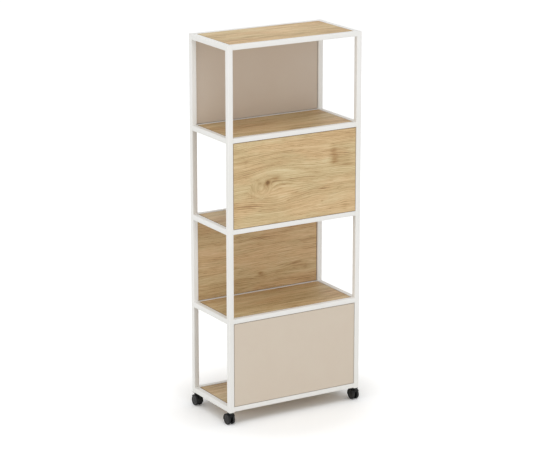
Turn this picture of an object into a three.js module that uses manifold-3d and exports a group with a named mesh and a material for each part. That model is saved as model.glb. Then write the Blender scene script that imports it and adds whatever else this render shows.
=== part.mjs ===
// A mobile double-sided bookcase, open at both ends.
// Two ladder frames of square steel tube are joined by front and back cross rails at five levels.
// Oak-faced shelves lie flush inside the rails, and an upright panel closes one face of each bay.
// Each post stands on a swivel caster with two wheels.
// Units are millimetres. +Z is up, -Y is the front, and the origin is on the floor under the middle.

import * as THREE from "three";
import { mergeVertices } from "three/addons/utils/BufferGeometryUtils.js";
import Module from "manifold-3d";

// Case
const CASE_WIDTH = 700;
const CASE_DEPTH = 355;
const LEVEL_PITCH = 420;
const LEVEL_COUNT = 5;

// Steel tube
const TUBE_SIZE = 25; // posts and side rails are square
const TUBE_WALL = 1.5;
const TUBE_CORNER = 2.5; // outside corner radius
const CROSS_RAIL_HEIGHT = 22;

// Shelf tabs, welded inside the side rails
const TAB_REACH = 22;
const TAB_WIDTH = 32;
const TAB_THICKNESS = 3;
const TAB_CORNER = 5;
const TAB_HOLE_RADIUS = 2.5;
const TAB_INSET = 40; // tab centre from the post
const TAB_BITE = 0.5; // how far a tab runs into the tube's wall

// Boards
const BOARD_THICKNESS = 16;
const BOARD_EASE = 0.8; // eased edges
const SHELF_GAP = 3; // between a shelf's edges and the tubes round it
const SHELF_DROP = 1; // shelf face below the rails' top
const SHELF_SEAT_GAP = 0.1; // paint between a shelf and its tabs
const PANEL_GAP = 1.5; // between a panel's edges and the tubes round it
const PANEL_INSET = 2; // panel face behind the frame's face
const DOWEL_RADIUS = 4;
const DOWEL_CLEARANCE = 0.3;
const DOWEL_TIP = 3; // dowel past the inside of the tube's wall
const DOWEL_EDGE = 60; // dowel centre from the panel's top and bottom edges

// Caster plug
const PLUG_FLANGE = 2;
const PLUG_LENGTH = 34;
const PLUG_CLEARANCE = 0.3;
const PLUG_RIB_DEPTH = 1.4;
const PLUG_RIB_HEIGHT = 3;
const PLUG_RIB_COUNT = 3;

// Caster stem
const SHANK_RADIUS = 5;
const SHANK_LENGTH = 28;
const SHANK_CLEARANCE = 0.15;
const COLLAR_RADIUS = 7.5;
const COLLAR_HEIGHT = 1.6;
const PIVOT_RADIUS = 3;
const PIVOT_LENGTH = 20;
const STEM_CHAMFER = 0.8;

// Caster wheels
const WHEEL_RADIUS = 24; // across the flats of the tread
const WHEEL_WIDTH = 11;
const WHEEL_GAP = 12; // between the two wheels of a caster
const WHEEL_SHOULDER = 1.2;
const RIM_THICKNESS = 3.2;
const WHEEL_FACE = 2.4; // thickness of the closed outer face
const WHEEL_GROOVE_WIDTH = 1.2;
const WHEEL_GROOVE_DEPTH = 0.7;
const WHEEL_GROOVE_RADIUS = 15.5;
const HUB_RADIUS = 5.5;
const HUB_STAND = 0.4; // hub clear of the hood's web
const SPOKE_THICKNESS = 1.5;
const SPOKE_RECESS = 2.5; // spokes lie this far inside the rim's edge
const SPOKE_COUNT = 6;
const AXLE_RADIUS = 2.5;
const AXLE_CLEARANCE = 0.08;
const AXLE_END_GAP = 0.4; // axle end clear of the wheel's face

// Caster hood
const CASTER_TRAIL = 13; // axle behind the swivel axis
const WEB_WIDTH = 10.6;
const HUB_BOSS_RADIUS = 7;
const FENDER_CLEARANCE = 1.2;
const FENDER_THICKNESS = 2.4;
const FENDER_OVERHANG = 0.6; // fender past the wheels' outer faces
const FENDER_FRONT_ANGLE = 142; // degrees from the trailing side, over the top
const FENDER_BACK_ANGLE = -14;
const FENDER_EASE = 0.7;
const FENDER_HEADROOM = 8.4; // fender's top to the underside of the frame
const SOCKET_RADIUS = 7.5;
const SOCKET_FLOOR = 2.2;
const PIVOT_CLEARANCE = 0.08;
const SWIVEL_GAP = 0.3; // socket top below the stem's collar
const AXLE_SEAT_CLEARANCE = 0.1;

// Facets and cuts
const CORNER_STEPS = 1;
const ROUND_STEPS = 24;
const SMALL_STEPS = 12;
const HOLE_STEPS = 8;
const FENDER_STEPS = 8;
const OVERRUN = 1; // how far a cut runs past the face it opens
const MERGE_TOLERANCE = 1e-4; // points closer than this are one point

const wasm = await Module();
wasm.setup();

const X = new THREE.Vector3(1, 0, 0);
const Y = new THREE.Vector3(0, 1, 0);
const Z = new THREE.Vector3(0, 0, 1);
// An extrusion runs along its own z. These turn it to run along X or along Y.
const ALONG_X = new THREE.Matrix4().makeBasis(Y, Z, X);
const ALONG_Y = new THREE.Matrix4().makeBasis(Z, X, Y);

// Derived sizes of the case
const HALF_WIDTH = CASE_WIDTH / 2;
const HALF_DEPTH = CASE_DEPTH / 2;
const FENDER_TOP = 2 * WHEEL_RADIUS + FENDER_CLEARANCE + FENDER_THICKNESS;
const FRAME_LIFT = FENDER_TOP + FENDER_HEADROOM; // floor to the underside of the frame
const CASE_TOP = FRAME_LIFT + TUBE_SIZE + LEVEL_PITCH * (LEVEL_COUNT - 1);
const POST_X = HALF_WIDTH - TUBE_SIZE / 2;
const POST_Y = HALF_DEPTH - TUBE_SIZE / 2;
const CLEAR_WIDTH = CASE_WIDTH - 2 * TUBE_SIZE;
const CLEAR_DEPTH = CASE_DEPTH - 2 * TUBE_SIZE;
const SHELF_SEAT = SHELF_DROP + BOARD_THICKNESS + SHELF_SEAT_GAP; // tab top below the rails' top
const PANEL_Y = HALF_DEPTH - PANEL_INSET - BOARD_THICKNESS / 2; // panel's mid plane
const PANEL_WIDTH = CLEAR_WIDTH - 2 * PANEL_GAP;
const PANEL_HEIGHT = LEVEL_PITCH - CROSS_RAIL_HEIGHT - 2 * PANEL_GAP;
const LEVELS = Array.from({ length: LEVEL_COUNT }, (_, i) => i + 1);
const BAY_PANELS = [
  { bay: 1, face: "front", finish: "beige" },
  { bay: 2, face: "back", finish: "oak" },
  { bay: 3, face: "front", finish: "oak" },
  { bay: 4, face: "back", finish: "beige" },
];

function levelTop(level) {
  return FRAME_LIFT + TUBE_SIZE + LEVEL_PITCH * (level - 1);
}

function panelBottom(bay) {
  return levelTop(bay) + PANEL_GAP;
}

function dowelHeights(bay) {
  const bottom = panelBottom(bay);
  return [bottom + DOWEL_EDGE, bottom + PANEL_HEIGHT - DOWEL_EDGE];
}

// Solids: a closed three.js geometry becomes a manifold solid, to be joined or cut, and back again.
function solidOf(geometry, matrix = new THREE.Matrix4()) {
  const bare = geometry.clone().applyMatrix4(matrix);
  bare.deleteAttribute("normal");
  bare.deleteAttribute("uv");
  const merged = mergeVertices(bare, MERGE_TOLERANCE);
  const mesh = new wasm.Mesh({
    numProp: 3,
    vertProperties: new Float32Array(merged.attributes.position.array),
    triVerts: new Uint32Array(merged.index.array),
  });
  return new wasm.Manifold(mesh);
}

function geometryOf(solid) {
  const mesh = solid.getMesh();
  const geometry = new THREE.BufferGeometry();
  geometry.setAttribute("position", new THREE.BufferAttribute(new Float32Array(mesh.vertProperties), 3));
  geometry.setIndex(new THREE.BufferAttribute(new Uint32Array(mesh.triVerts), 1));
  const flat = geometry.toNonIndexed();
  flat.computeVertexNormals();
  return flat;
}

function moved(x, y, z) {
  return new THREE.Matrix4().makeTranslation(x, y, z);
}

// Profiles
function roundedRectangle(width, height, radius) {
  const x = width / 2 - radius;
  const y = height / 2 - radius;
  const shape = new THREE.Shape();
  shape.absarc(x, y, radius, 0, Math.PI / 2);
  shape.absarc(-x, y, radius, Math.PI / 2, Math.PI);
  shape.absarc(-x, -y, radius, Math.PI, Math.PI * 1.5);
  shape.absarc(x, -y, radius, Math.PI * 1.5, Math.PI * 2);
  return shape;
}

function rectangle(width, height) {
  const x = width / 2;
  const y = height / 2;
  const corners = [
    [-x, -y],
    [x, -y],
    [x, y],
    [-x, y],
  ];
  return new THREE.Shape(corners.map(([u, v]) => new THREE.Vector2(u, v)));
}

function tubeProfile(width, height) {
  const profile = roundedRectangle(width, height, TUBE_CORNER);
  profile.holes.push(rectangle(width - 2 * TUBE_WALL, height - 2 * TUBE_WALL));
  return profile;
}

function extruded(shape, length) {
  return new THREE.ExtrudeGeometry(shape, { depth: length, bevelEnabled: false, curveSegments: CORNER_STEPS });
}

// A round bar or bore along its own y, centred. Its flats, not its corners, keep the radius where
// fitted is true, so that a bar of the same radius turns inside it.
function round(radius, length, steps = SMALL_STEPS, fitted = false) {
  const corner = fitted ? radius / Math.cos(Math.PI / steps) : radius;
  return new THREE.CylinderGeometry(corner, corner, length, steps);
}

// Frame
function makePost(side, face) {
  const height = CASE_TOP - FRAME_LIFT;
  const outside = extruded(roundedRectangle(TUBE_SIZE, TUBE_SIZE, TUBE_CORNER), height);
  const bore = TUBE_SIZE - 2 * TUBE_WALL;
  const inside = extruded(rectangle(bore, bore), height - TUBE_WALL + OVERRUN);
  let post = solidOf(outside).subtract(solidOf(inside, moved(0, 0, -OVERRUN)));
  const faceSign = face === "front" ? -1 : 1;
  const panelY = faceSign * (PANEL_Y - POST_Y);
  const reach = TUBE_SIZE / 2 + OVERRUN;
  const hole = round(DOWEL_RADIUS + DOWEL_CLEARANCE, reach, HOLE_STEPS, true).rotateZ(Math.PI / 2);
  for (const panel of BAY_PANELS.filter((each) => each.face === face)) {
    for (const z of dowelHeights(panel.bay)) {
      const place = moved((-side * reach) / 2, panelY, z - FRAME_LIFT);
      post = post.subtract(solidOf(hole, place));
    }
  }
  return geometryOf(post);
}

function makeCrossRail() {
  const rail = extruded(tubeProfile(TUBE_SIZE, CROSS_RAIL_HEIGHT), CLEAR_WIDTH);
  return rail.translate(0, 0, -CLEAR_WIDTH / 2).applyMatrix4(ALONG_X);
}

function shelfTab() {
  const shape = new THREE.Shape();
  const half = TAB_WIDTH / 2;
  shape.moveTo(-TAB_BITE, -half);
  shape.lineTo(TAB_REACH - TAB_CORNER, -half);
  shape.absarc(TAB_REACH - TAB_CORNER, -half + TAB_CORNER, TAB_CORNER, -Math.PI / 2, 0);
  shape.absarc(TAB_REACH - TAB_CORNER, half - TAB_CORNER, TAB_CORNER, 0, Math.PI / 2);
  shape.lineTo(-TAB_BITE, half);
  const hole = new THREE.Path();
  const screw = SHELF_GAP + (TAB_REACH - SHELF_GAP) / 2;
  hole.absarc(screw, 0, TAB_HOLE_RADIUS, 0, Math.PI * 2, true);
  shape.holes.push(hole);
  return extruded(shape, TAB_THICKNESS);
}

function makeSideRail(side) {
  const tube = extruded(tubeProfile(TUBE_SIZE, TUBE_SIZE), CLEAR_DEPTH);
  let rail = solidOf(tube.translate(0, 0, -CLEAR_DEPTH / 2).applyMatrix4(ALONG_Y));
  const top = TUBE_SIZE / 2 - SHELF_SEAT;
  for (const end of [-1, 1]) {
    const tab = shelfTab().translate(TUBE_SIZE / 2, end * (CLEAR_DEPTH / 2 - TAB_INSET), top - TAB_THICKNESS);
    if (side > 0) {
      tab.rotateZ(Math.PI);
    }
    rail = rail.add(solidOf(tab));
  }
  return geometryOf(rail);
}

// Boards
function easedBoard(width, height, thickness) {
  const face = rectangle(width - 2 * BOARD_EASE, height - 2 * BOARD_EASE);
  const board = new THREE.ExtrudeGeometry(face, {
    depth: thickness - 2 * BOARD_EASE,
    bevelEnabled: true,
    bevelThickness: BOARD_EASE,
    bevelSize: BOARD_EASE,
    bevelSegments: 1,
  });
  return board.translate(0, 0, BOARD_EASE - thickness / 2);
}

function makeShelf() {
  const width = CLEAR_WIDTH - 2 * SHELF_GAP;
  const depth = CLEAR_DEPTH - 2 * SHELF_GAP;
  return easedBoard(width, depth, BOARD_THICKNESS);
}

function makePanel() {
  let panel = solidOf(easedBoard(PANEL_WIDTH, PANEL_HEIGHT, BOARD_THICKNESS).rotateX(Math.PI / 2));
  const stub = PANEL_GAP + TUBE_WALL + DOWEL_TIP;
  const length = stub + BOARD_THICKNESS;
  const dowel = round(DOWEL_RADIUS, length, HOLE_STEPS).rotateZ(Math.PI / 2);
  for (const side of [-1, 1]) {
    for (const end of [-1, 1]) {
      const x = side * (PANEL_WIDTH / 2 + stub - length / 2);
      const place = moved(x, 0, end * (PANEL_HEIGHT / 2 - DOWEL_EDGE));
      panel = panel.add(solidOf(dowel, place));
    }
  }
  return geometryOf(panel);
}

// Caster. Each piece is made with the swivel axis at its origin, z from the floor, wheels trailing in +Y.
const PLUG_BORE = SHANK_RADIUS + SHANK_CLEARANCE;
const FLANGE_BOTTOM = FRAME_LIFT - PLUG_FLANGE;
const COLLAR_BOTTOM = FLANGE_BOTTOM - COLLAR_HEIGHT;
const SOCKET_TOP = COLLAR_BOTTOM - SWIVEL_GAP;
const PIVOT_BOTTOM = COLLAR_BOTTOM - PIVOT_LENGTH;
const SOCKET_FOOT = PIVOT_BOTTOM - SOCKET_FLOOR;
const SPIN_HEIGHT = WHEEL_RADIUS;
const TREAD_CORNER_RADIUS = WHEEL_RADIUS / Math.cos(Math.PI / ROUND_STEPS);

function makePlug() {
  const bore = TUBE_SIZE - 2 * TUBE_WALL;
  const ribSize = bore - 2 * PLUG_CLEARANCE;
  const coreSize = ribSize - 2 * PLUG_RIB_DEPTH;
  const corner = TUBE_CORNER - TUBE_WALL;
  let plug = solidOf(extruded(roundedRectangle(coreSize, coreSize, corner), PLUG_LENGTH));
  const flange = extruded(roundedRectangle(TUBE_SIZE, TUBE_SIZE, TUBE_CORNER), PLUG_FLANGE);
  plug = plug.add(solidOf(flange, moved(0, 0, -PLUG_FLANGE)));
  const rib = extruded(roundedRectangle(ribSize, ribSize, corner), PLUG_RIB_HEIGHT);
  const pitch = (PLUG_LENGTH - PLUG_RIB_HEIGHT) / (PLUG_RIB_COUNT - 1);
  for (let i = 0; i < PLUG_RIB_COUNT; i++) {
    plug = plug.add(solidOf(rib, moved(0, 0, i * pitch)));
  }
  const length = SHANK_LENGTH + PLUG_FLANGE + 2 * OVERRUN;
  const bored = round(PLUG_BORE, length, SMALL_STEPS, true).rotateX(Math.PI / 2);
  return geometryOf(plug.subtract(solidOf(bored, moved(0, 0, length / 2 - PLUG_FLANGE - OVERRUN))));
}

function makeStem() {
  const shankTop = FLANGE_BOTTOM + SHANK_LENGTH;
  const profile = [
    [0, PIVOT_BOTTOM],
    [PIVOT_RADIUS - STEM_CHAMFER, PIVOT_BOTTOM],
    [PIVOT_RADIUS, PIVOT_BOTTOM + STEM_CHAMFER],
    [PIVOT_RADIUS, COLLAR_BOTTOM],
    [COLLAR_RADIUS, COLLAR_BOTTOM],
    [COLLAR_RADIUS, FLANGE_BOTTOM],
    [SHANK_RADIUS, FLANGE_BOTTOM],
    [SHANK_RADIUS, shankTop - STEM_CHAMFER],
    [SHANK_RADIUS - STEM_CHAMFER, shankTop],
    [0, shankTop],
  ];
  return revolved(profile, SMALL_STEPS).rotateX(Math.PI / 2);
}

function revolved(profile, steps, start = 0) {
  const points = profile.map(([r, y]) => new THREE.Vector2(r, y));
  return new THREE.LatheGeometry(points, steps, start);
}

// The side view of the hood's web, from the swivel axis back: it carries the axle boss and the fender.
function webShape() {
  const fenderMiddle = TREAD_CORNER_RADIUS + FENDER_CLEARANCE + FENDER_THICKNESS / 2;
  const shape = new THREE.Shape();
  shape.moveTo(0, SOCKET_FOOT);
  shape.lineTo(CASTER_TRAIL - HUB_BOSS_RADIUS, SPIN_HEIGHT);
  shape.absarc(CASTER_TRAIL, SPIN_HEIGHT, HUB_BOSS_RADIUS, Math.PI, Math.PI * 2);
  shape.absarc(CASTER_TRAIL, SPIN_HEIGHT, fenderMiddle, Math.PI / 4, Math.PI / 2);
  shape.lineTo(SOCKET_RADIUS, SOCKET_TOP - COLLAR_HEIGHT);
  shape.lineTo(0, SOCKET_TOP - COLLAR_HEIGHT);
  return shape;
}

function fenderShape() {
  const inner = TREAD_CORNER_RADIUS + FENDER_CLEARANCE + FENDER_EASE;
  const outer = inner + FENDER_THICKNESS - 2 * FENDER_EASE;
  const from = THREE.MathUtils.degToRad(FENDER_BACK_ANGLE);
  const to = THREE.MathUtils.degToRad(FENDER_FRONT_ANGLE);
  const shape = new THREE.Shape();
  shape.absarc(CASTER_TRAIL, SPIN_HEIGHT, outer, from, to);
  shape.absarc(CASTER_TRAIL, SPIN_HEIGHT, inner, to, from, true);
  return shape;
}

function makeHood() {
  const width = WHEEL_GAP + 2 * (WHEEL_WIDTH + FENDER_OVERHANG);
  const fender = new THREE.ExtrudeGeometry(fenderShape(), {
    depth: width - 2 * FENDER_EASE,
    bevelEnabled: true,
    bevelThickness: FENDER_EASE,
    bevelSize: FENDER_EASE,
    bevelSegments: 1,
    curveSegments: FENDER_STEPS,
  });
  fender.translate(0, 0, FENDER_EASE - width / 2).applyMatrix4(ALONG_X);
  const web = extruded(webShape(), WEB_WIDTH).translate(0, 0, -WEB_WIDTH / 2).applyMatrix4(ALONG_X);
  const socketHeight = SOCKET_TOP - SPIN_HEIGHT - WHEEL_RADIUS / 2;
  const socket = round(SOCKET_RADIUS, socketHeight).rotateX(Math.PI / 2);
  const roomRadius = TREAD_CORNER_RADIUS + FENDER_CLEARANCE;
  const wheelRoom = round(roomRadius, width, ROUND_STEPS, true).rotateZ(Math.PI / 2);
  const spaces = [-1, 1].map((side) =>
    solidOf(wheelRoom, moved(side * (WEB_WIDTH / 2 + width / 2), CASTER_TRAIL, SPIN_HEIGHT)),
  );
  let hood = solidOf(socket, moved(0, 0, SOCKET_TOP - socketHeight / 2));
  for (const space of spaces) {
    hood = hood.subtract(space);
  }
  const columnHeight = SOCKET_TOP - SOCKET_FOOT;
  const column = round(WEB_WIDTH / 2, columnHeight).rotateX(Math.PI / 2);
  hood = hood.add(solidOf(column, moved(0, 0, SOCKET_TOP - columnHeight / 2)));
  hood = hood.add(solidOf(fender)).add(solidOf(web));
  const boreLength = PIVOT_LENGTH + OVERRUN;
  const bore = round(PIVOT_RADIUS + PIVOT_CLEARANCE, boreLength, SMALL_STEPS, true).rotateX(Math.PI / 2);
  const boreMiddle = PIVOT_BOTTOM - SWIVEL_GAP + boreLength / 2;
  const eye = round(AXLE_RADIUS + AXLE_SEAT_CLEARANCE, width, HOLE_STEPS, true).rotateZ(Math.PI / 2);
  hood = hood.subtract(solidOf(bore, moved(0, 0, boreMiddle)));
  return geometryOf(hood.subtract(solidOf(eye, moved(0, CASTER_TRAIL, SPIN_HEIGHT))));
}

function makeAxle() {
  const reach = WHEEL_GAP / 2 + WHEEL_WIDTH - WHEEL_FACE - AXLE_END_GAP;
  return round(AXLE_RADIUS, 2 * reach, HOLE_STEPS).rotateZ(Math.PI / 2);
}

// A wheel about its own y, from its open inner side at 0 to its closed outer face.
function makeWheel(side) {
  const turn = Math.PI / ROUND_STEPS;
  const corner = 1 / Math.cos(turn);
  const rim = WHEEL_RADIUS - RIM_THICKNESS;
  const inside = WHEEL_WIDTH - WHEEL_FACE;
  const groove = WHEEL_GROOVE_RADIUS + WHEEL_GROOVE_WIDTH;
  const bore = AXLE_RADIUS + AXLE_CLEARANCE;
  const hubEnd = HUB_STAND - (WHEEL_GAP - WEB_WIDTH) / 2;
  const profile = [
    [0, inside],
    [bore, inside],
    [bore, hubEnd],
    [HUB_RADIUS, hubEnd],
    [HUB_RADIUS, inside],
    [rim, inside],
    [rim, 0],
    [WHEEL_RADIUS - WHEEL_SHOULDER, 0],
    [WHEEL_RADIUS, WHEEL_SHOULDER],
    [WHEEL_RADIUS, WHEEL_WIDTH - WHEEL_SHOULDER],
    [WHEEL_RADIUS - WHEEL_SHOULDER, WHEEL_WIDTH],
    [groove, WHEEL_WIDTH],
    [groove, WHEEL_WIDTH - WHEEL_GROOVE_DEPTH],
    [WHEEL_GROOVE_RADIUS, WHEEL_WIDTH - WHEEL_GROOVE_DEPTH],
    [WHEEL_GROOVE_RADIUS, WHEEL_WIDTH],
    [0, WHEEL_WIDTH],
  ];
  const grown = profile.map(([r, y]) => [r * corner, y]);
  let wheel = solidOf(revolved(grown, ROUND_STEPS, turn));
  const inner = (HUB_RADIUS + bore) / 2;
  const spokeLength = rim + RIM_THICKNESS / 2 - inner;
  const spokeHeight = inside + WHEEL_FACE / 2 - SPOKE_RECESS;
  const spoke = new THREE.BoxGeometry(spokeLength, spokeHeight, SPOKE_THICKNESS);
  spoke.translate(inner + spokeLength / 2, SPOKE_RECESS + spokeHeight / 2, 0);
  for (let i = 0; i < SPOKE_COUNT; i++) {
    const around = new THREE.Matrix4().makeRotationY((i / SPOKE_COUNT) * Math.PI * 2);
    wheel = wheel.add(solidOf(spoke, around));
  }
  return geometryOf(wheel).rotateZ((-side * Math.PI) / 2);
}

// Finishes
const FINISHES = {
  white: { color: 0xf0f0ee, roughness: 0.45, metalness: 0.0 },
  oak: { color: 0xc8ab80, roughness: 0.6, metalness: 0.0 },
  beige: { color: 0xcec1b1, roughness: 0.55, metalness: 0.0 },
  black: { color: 0x232323, roughness: 0.4, metalness: 0.0 },
  steel: { color: 0x9a9ca0, roughness: 0.35, metalness: 1.0 },
};

function piece(name, finish, geometry, x, y, z) {
  const mesh = new THREE.Mesh(geometry, new THREE.MeshStandardMaterial(FINISHES[finish]));
  mesh.name = name;
  mesh.position.set(x, y, z);
  return mesh;
}

// Assembly
const SIDES = [
  { name: "left", sign: -1 },
  { name: "right", sign: 1 },
];
const FACES = [
  { name: "front", sign: -1 },
  { name: "back", sign: 1 },
];

function frame() {
  const group = new THREE.Group();
  for (const face of FACES) {
    for (const side of SIDES) {
      const post = makePost(side.sign, face.name);
      const name = `post_${face.name}_${side.name}`;
      group.add(piece(name, "white", post, side.sign * POST_X, face.sign * POST_Y, FRAME_LIFT));
    }
  }
  for (const level of LEVELS) {
    const crossZ = levelTop(level) - CROSS_RAIL_HEIGHT / 2;
    const sideZ = levelTop(level) - TUBE_SIZE / 2;
    for (const face of FACES) {
      const name = `rail_${face.name}_${level}`;
      group.add(piece(name, "white", makeCrossRail(), 0, face.sign * POST_Y, crossZ));
    }
    for (const side of SIDES) {
      const name = `rail_${side.name}_${level}`;
      group.add(piece(name, "white", makeSideRail(side.sign), side.sign * POST_X, 0, sideZ));
    }
  }
  return group;
}

function boards() {
  const group = new THREE.Group();
  for (const level of LEVELS) {
    const name = level === LEVEL_COUNT ? "top_board" : `shelf_${level}`;
    const z = levelTop(level) - SHELF_DROP - BOARD_THICKNESS / 2;
    group.add(piece(name, "oak", makeShelf(), 0, 0, z));
  }
  for (const { bay, face, finish } of BAY_PANELS) {
    const y = face === "front" ? -PANEL_Y : PANEL_Y;
    const z = panelBottom(bay) + PANEL_HEIGHT / 2;
    group.add(piece(`panel_${face}_bay_${bay}`, finish, makePanel(), 0, y, z));
  }
  return group;
}

function caster(face, side) {
  const name = `caster_${face.name}_${side.name}`;
  const group = new THREE.Group();
  group.position.set(side.sign * POST_X, face.sign * POST_Y, 0);
  group.add(piece(`${name}_plug`, "black", makePlug(), 0, 0, FRAME_LIFT));
  group.add(piece(`${name}_stem`, "steel", makeStem(), 0, 0, 0));
  const swivel = new THREE.Group();
  swivel.rotation.z = face.sign < 0 ? 0 : Math.PI;
  swivel.add(piece(`${name}_hood`, "black", makeHood(), 0, 0, 0));
  swivel.add(piece(`${name}_axle`, "steel", makeAxle(), 0, CASTER_TRAIL, SPIN_HEIGHT));
  for (const end of [-1, 1]) {
    const worldSide = end * -face.sign < 0 ? "left" : "right";
    const x = (end * WHEEL_GAP) / 2;
    const wheel = makeWheel(end);
    swivel.add(piece(`${name}_wheel_${worldSide}`, "black", wheel, x, CASTER_TRAIL, SPIN_HEIGHT));
  }
  group.add(swivel);
  return group;
}

const bookcase = new THREE.Group();
bookcase.add(frame());
bookcase.add(boards());
for (const face of FACES) {
  for (const side of SIDES) {
    bookcase.add(caster(face, side));
  }
}

export default bookcase;
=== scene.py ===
"""A mobile double-sided bookcase of white steel tube and oak boards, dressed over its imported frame."""

import math

import bmesh
import bpy
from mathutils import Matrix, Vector


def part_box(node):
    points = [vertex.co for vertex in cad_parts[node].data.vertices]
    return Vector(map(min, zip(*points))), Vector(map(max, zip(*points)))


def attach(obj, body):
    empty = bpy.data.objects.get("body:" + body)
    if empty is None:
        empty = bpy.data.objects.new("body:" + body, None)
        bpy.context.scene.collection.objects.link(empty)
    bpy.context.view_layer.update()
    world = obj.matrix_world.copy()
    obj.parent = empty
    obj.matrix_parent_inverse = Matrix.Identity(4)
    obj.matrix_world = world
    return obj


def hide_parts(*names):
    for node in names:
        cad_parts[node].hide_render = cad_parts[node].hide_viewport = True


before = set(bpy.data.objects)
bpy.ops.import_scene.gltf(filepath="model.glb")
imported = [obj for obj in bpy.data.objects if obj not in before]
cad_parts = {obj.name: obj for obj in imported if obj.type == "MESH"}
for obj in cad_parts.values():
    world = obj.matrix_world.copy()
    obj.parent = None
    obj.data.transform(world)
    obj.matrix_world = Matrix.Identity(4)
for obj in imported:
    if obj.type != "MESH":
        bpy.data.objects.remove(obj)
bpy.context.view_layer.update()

MM = 0.001

# Photograph's viewing angle, for a picture of 550 by 450 pixels
PICTURE_WIDTH = 550
SENSOR_WIDTH = 36.0
FOCAL_PIXELS = 2310.345
CAMERA_PLACE = (-5.2844, -8.82542, 3.68285)
CAMERA_TURN = 0.53927
CAMERA_PITCH = 0.2676
CAMERA_CLIP_END = 200.0

# Tubes
TUBE_SIZE = 25 * MM
TUBE_CORNER = 2.5 * MM
TUBE_LEAST_CORNER = 0.2 * MM
TUBE_CORNER_STEPS = 6
POST_TOP_EASE = 1.0 * MM
POST_TOP_STEPS = 4
RAIL_BITE = 1.7 * MM  # how far a rail's weld fills the groove at a post's corner
SHELF_GAP = 3 * MM  # between a shelf's edges and the tubes
PANEL_GAP = 1.5 * MM  # between a panel's edges and the tubes

# Shelf tabs
TAB_REACH = 22 * MM
TAB_WIDTH = 32 * MM
TAB_THICKNESS = 3 * MM
TAB_CORNER = 5 * MM
TAB_CORNER_STEPS = 8
TAB_EASE = 0.4 * MM
TAB_ROOT = 0.5 * MM  # how far a tab reaches into its rail
TAB_POINT_PITCH = 2 * MM
TAB_HOLE_RADIUS = 2.5 * MM
TAB_HOLE_PLACE = (SHELF_GAP + TAB_REACH) / 2  # hole's middle from the rail's inner face
TAB_INSET = 40 * MM  # tab's middle from the rail's end
TAB_SEAT = 17.1 * MM  # tab's top below the rail's top

# Weld beads
BEAD_RADIUS = 1.5 * MM
BEAD_RIPPLE = 0.14
BEAD_PITCH = 2.4 * MM
BEAD_INSET = 2.2 * MM
BEAD_TAPER = 12  # how fast a bead grows to its full size from its ends
BEAD_END_SHARE = 0.15
BEAD_STEPS = 40
BEAD_SIDES = 8

# Shelf screws
SCREW_HEAD_RADIUS = 4.2 * MM
SCREW_HEAD_HEIGHT = 2.3 * MM
SCREW_CROWN_SHARE = 0.62  # flat crown's share of the head's radius
SCREW_BRIM_SHARE = 0.45  # upright brim's share of the head's height
SCREW_CROWN_STEPS = 6
SCREW_SHANK_RADIUS = 2.0 * MM
SCREW_CROSS_REACH = 2.3 * MM
SCREW_CROSS_WIDTH = 0.9 * MM
SCREW_CROSS_DEPTH = 1.3 * MM
SCREW_CROSS_TAPER = 0.55
SCREW_CROSS_STAGGER = 0.02 * MM  # one arm is this much shallower, so that no two faces coincide
SCREW_CUTTER_OUT = 1 * MM
SCREW_STEPS = 32
SCREW_TURN = 0.7  # radians from one screw to the next

# Wheels
WHEEL_RADIUS = 24 * MM
WHEEL_WIDTH = 11 * MM
WHEEL_STEPS = 72
WHEEL_FACE = 2.4 * MM  # thickness of the closed outer face
WHEEL_SPOKES = 6
SPOKE_THICKNESS = 1.5 * MM
SPOKE_RECESS = 2.5 * MM
SPOKE_COVER = 2 * MM  # what is left of the closed face over a spoke
SPOKE_BITE = 0.5 * MM
HUB_RADIUS = 5.5 * MM
HUB_BORE = 2.58 * MM
HUB_STAND = 0.3 * MM
RIM_INSIDE = 20.8 * MM
RIM_EASE_WIDTH = 0.3 * MM
RIM_EASE_HEIGHT = 0.2 * MM
GROOVE_INSIDE = 21.9 * MM
GROOVE_MIDDLE = 22.0 * MM
GROOVE_DEPTH = 0.25 * MM
TYRE_INSIDE = 22.2 * MM
TYRE_SHOULDER = 1.4 * MM
TYRE_STEPS = 6
# Outer face from the groove beside the tyre in to the cap, as (radius, depth)
WHEEL_DISH = (
    (GROOVE_MIDDLE, GROOVE_DEPTH),
    (GROOVE_INSIDE, 0),
    (20.4 * MM, 0),
    (19.6 * MM, 0.25 * MM),
    (19.1 * MM, 0.7 * MM),
    (16.9 * MM, 0.9 * MM),
    (16.3 * MM, 1.2 * MM),
    (15.6 * MM, 1.2 * MM),
    (15.0 * MM, 0.85 * MM),
    (9.5 * MM, 0.45 * MM),
    (8.6 * MM, 0.5 * MM),
    (8.3 * MM, 0.8 * MM),
    (7.7 * MM, 0.8 * MM),
    (7.4 * MM, 0.5 * MM),
)
CAP_RADIUS = 7.2 * MM
CAP_RISE = 0.4 * MM
CAP_STEPS = 6

# Casters above the wheels
TURNED_STEPS = 48
TRAIL = 13 * MM
WEB_WIDTH = 10.6 * MM
WEB_DROP = 1.6 * MM  # web's top below the socket's
WEB_BOSS_STEPS = 20
WEB_ARC_STEPS = 12
HUB_BOSS = 7 * MM
FENDER_INSIDE = 25.45 * MM
FENDER_THICKNESS = 2.4 * MM
FENDER_MIDDLE = FENDER_INSIDE + FENDER_THICKNESS / 2
FENDER_WIDTH = 35.2 * MM
FENDER_EDGE = 0.9 * MM
FENDER_EDGE_SHARE = 0.45  # edge's greatest share of the thickness
FENDER_EDGE_STEPS = 4
FENDER_BACK = math.radians(-14)
FENDER_FRONT = math.radians(142)
FENDER_STEPS = 48
FENDER_END_SHARE = 0.08
FENDER_END_STEPS = 4
HOOD_EASE = 0.8 * MM
HOOD_EASE_STEPS = 3
HOOD_RIM_ANGLE = math.radians(60)
SOCKET_RADIUS = 7.5 * MM
SOCKET_TOP = 56.1 * MM
SOCKET_TOP_EASE = 0.24 * MM
SOCKET_FOOT = 34.2 * MM
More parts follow.
